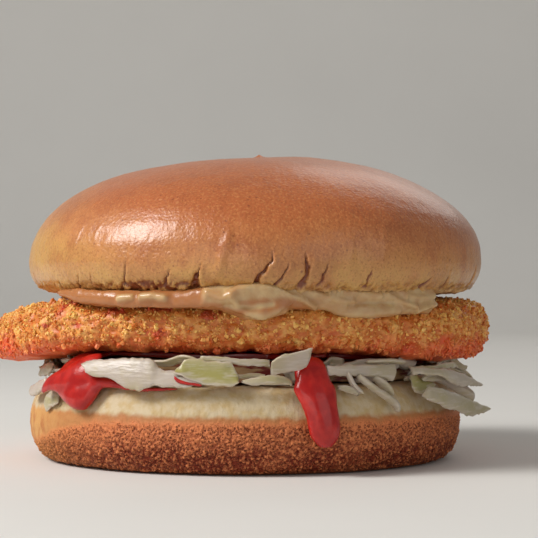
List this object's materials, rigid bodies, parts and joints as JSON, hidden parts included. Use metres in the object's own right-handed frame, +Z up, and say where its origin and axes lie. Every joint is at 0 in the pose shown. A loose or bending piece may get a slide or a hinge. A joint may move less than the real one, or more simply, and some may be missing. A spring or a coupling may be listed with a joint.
{
  "type": "chicken burger",
  "caption": "Crumbed chicken fillet burger in a glazed round bun, with shredded cabbage, red sauce that hangs over the heel, and mayonnaise.",
  "frame": {"origin": "centre of the flat foot of the bun's heel, on the surface that it stands on", "axes": "+Z up through the layers, +X along the fillet's length towards its blunt end, -Y the front where the sauces hang over the edge"},
  "size_m": [0.1269, 0.1138, 0.0765],
  "materials": {
    "heel_crust": "dry brown baked crust with a pebbled tin texture and a pale cut edge",
    "cabbage": "moist, slightly translucent white and pale green leaf",
    "red_sauce": "glossy thick sauce",
    "fried_crumb": "coarse golden to orange-red fried crumb",
    "mayonnaise": "smooth, softly glossy ivory cream",
    "crown_crust": "satin egg-washed crust, darker on top and golden at the rim"
  },
  "bodies": {
    "root": {"bun_heel": "heel_crust", "cabbage": "cabbage", "red_sauce": "red_sauce", "chicken_fillet": "fried_crumb", "mayonnaise": "mayonnaise", "bun_crown": "crown_crust"}
  },
  "joints": []
}
